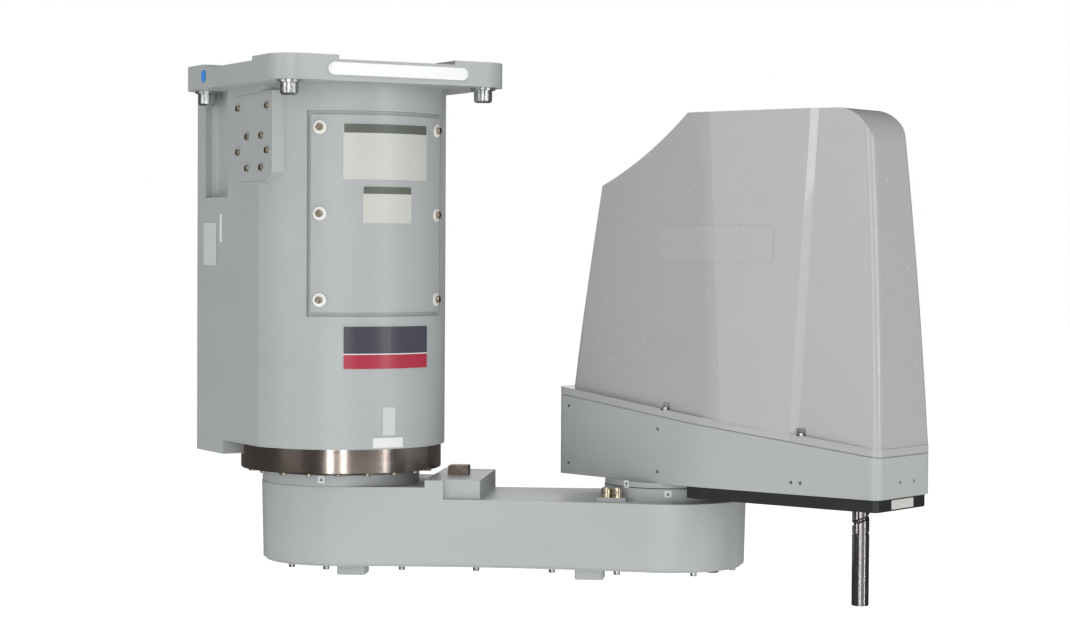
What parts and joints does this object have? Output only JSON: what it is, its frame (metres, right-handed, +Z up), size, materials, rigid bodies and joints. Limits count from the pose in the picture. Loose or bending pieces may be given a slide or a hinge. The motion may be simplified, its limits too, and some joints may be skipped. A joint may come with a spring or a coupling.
{
  "type": "ceiling-mounted SCARA robot",
  "caption": "Robot that hangs from a ceiling: a round-fronted base column, two level arms in series and a vertical tool shaft under a tall hood that turns and slides",
  "frame": {"origin": "On the first joint's axis, in the plane of the plate's pads that meets the ceiling, the centre of the four mounting holes", "axes": "+Z up into the ceiling, +X the base's front with the access cover, +Y completes a right-handed set; the robot hangs in -Z"},
  "size_m": [0.6194, 0.5227, 0.509],
  "materials": {
    "painted_casting": "fine textured off-white paint on a casting",
    "painted_sheet": "smooth off-white paint on sheet metal",
    "painted_hood": "smooth satin off-white paint",
    "pale_plastic": "pale washer",
    "plated_screw": "yellowish zinc plate",
    "nickel": "nickel plate",
    "ground_steel": "ground, lightly oiled",
    "ground_shaft": "ground and polished",
    "dark_steel": "blackened steel",
    "motor_black": "black satin",
    "plain_aluminium": "milled",
    "black_plastic": "satin black moulding",
    "black_rubber": "matte"
  },
  "bodies": {
    "base": {"base_casting": "painted_casting", "access_cover": "painted_casting", "access_cover_collars": "pale_plastic", "access_cover_screws": "plated_screw", "cable_panel": "painted_sheet", "cable_panel_screws": "plated_screw", "connector_sockets": "nickel", "connector_screws": "plated_screw", "j1_ring": "ground_steel", "j1_ring_screws": "plated_screw", "j1_reducer": "ground_steel", "j1_motor": "motor_black", "j1_base_stop": "dark_steel"},
    "arm1": {"arm1_casting": "painted_casting", "j1_output_flange": "ground_steel", "j1_stopper": "dark_steel", "arm1_bottom_cover": "painted_sheet", "arm1_feet": "painted_sheet", "arm1_cover_screws": "plated_screw", "arm1_plug": "black_rubber", "j2_hub": "ground_steel", "j2_stop_bolts": "plated_screw"},
    "arm2": {"arm2_casting": "painted_casting", "j2_ring": "ground_steel", "j2_stop_lug": "dark_steel", "arm2_bottom_cover": "black_plastic", "hood": "painted_hood", "hood_screws": "plated_screw", "j2_reducer": "ground_steel", "j2_motor": "motor_black", "drive_bracket": "plain_aluminium", "bracket_posts": "ground_steel", "z_motor": "motor_black", "theta_motor": "motor_black", "z_belt": "black_rubber", "theta_belt": "black_rubber", "spline_bearing": "ground_steel", "ball_nut_bearing": "ground_steel"},
    "spline": {"spline_nut": "ground_steel", "theta_pulley": "plain_aluminium"},
    "ball_nut": {"ball_nut": "ground_steel", "z_pulley": "plain_aluminium"},
    "z_motor_pulley": {"z_motor_pulley": "plain_aluminium"},
    "theta_motor_pulley": {"theta_motor_pulley": "plain_aluminium"},
    "shaft": {"shaft": "ground_shaft", "shaft_collar": "dark_steel"}
  },
  "joints": [
    {"name": "j1", "type": "hinge", "parent": "base", "child": "arm1", "pos_m": [0, 0, -0.4], "axis": [0, 0, 1], "range_deg": [-224.1, 115.9]},
    {"name": "j2", "type": "hinge", "parent": "arm1", "child": "arm2", "pos_m": [0.19057, 0.26326, -0.4], "axis": [0, 0, 1], "range_deg": [-103.2, 170.8]},
    {"name": "theta", "type": "hinge", "parent": "arm2", "child": "spline", "pos_m": [0.4016, 0.34132, -0.38], "axis": [0, 0, 1], "range_deg": [-360, 360]},
    {"name": "z", "type": "slide", "parent": "spline", "child": "shaft", "axis": [0, 0, 1], "range_m": [-0.125, 0.025]},
    {"name": "ball_nut_turn", "type": "hinge", "parent": "arm2", "child": "ball_nut", "pos_m": [0.4016, 0.34132, -0.32], "axis": [0, 0, 1], "range_deg": [-2820, 570]},
    {"name": "z_motor_turn", "type": "hinge", "parent": "arm2", "child": "z_motor_pulley", "pos_m": [0.28905, 0.29969, -0.34], "axis": [0, 0, 1], "range_deg": [-4300, 860]},
    {"name": "theta_motor_turn", "type": "hinge", "parent": "arm2", "child": "theta_motor_pulley", "pos_m": [0.34063, 0.31877, -0.37], "axis": [0, 0, 1], "range_deg": [-721, 721]}
  ],
  "couplings": [
    {"joint": "ball_nut_turn", "follows": "z", "rad_per_m": 392.7},
    {"joint": "z_motor_turn", "follows": "z", "rad_per_m": 595.82},
    {"joint": "theta_motor_turn", "follows": "theta", "ratio": 2}
  ]
}
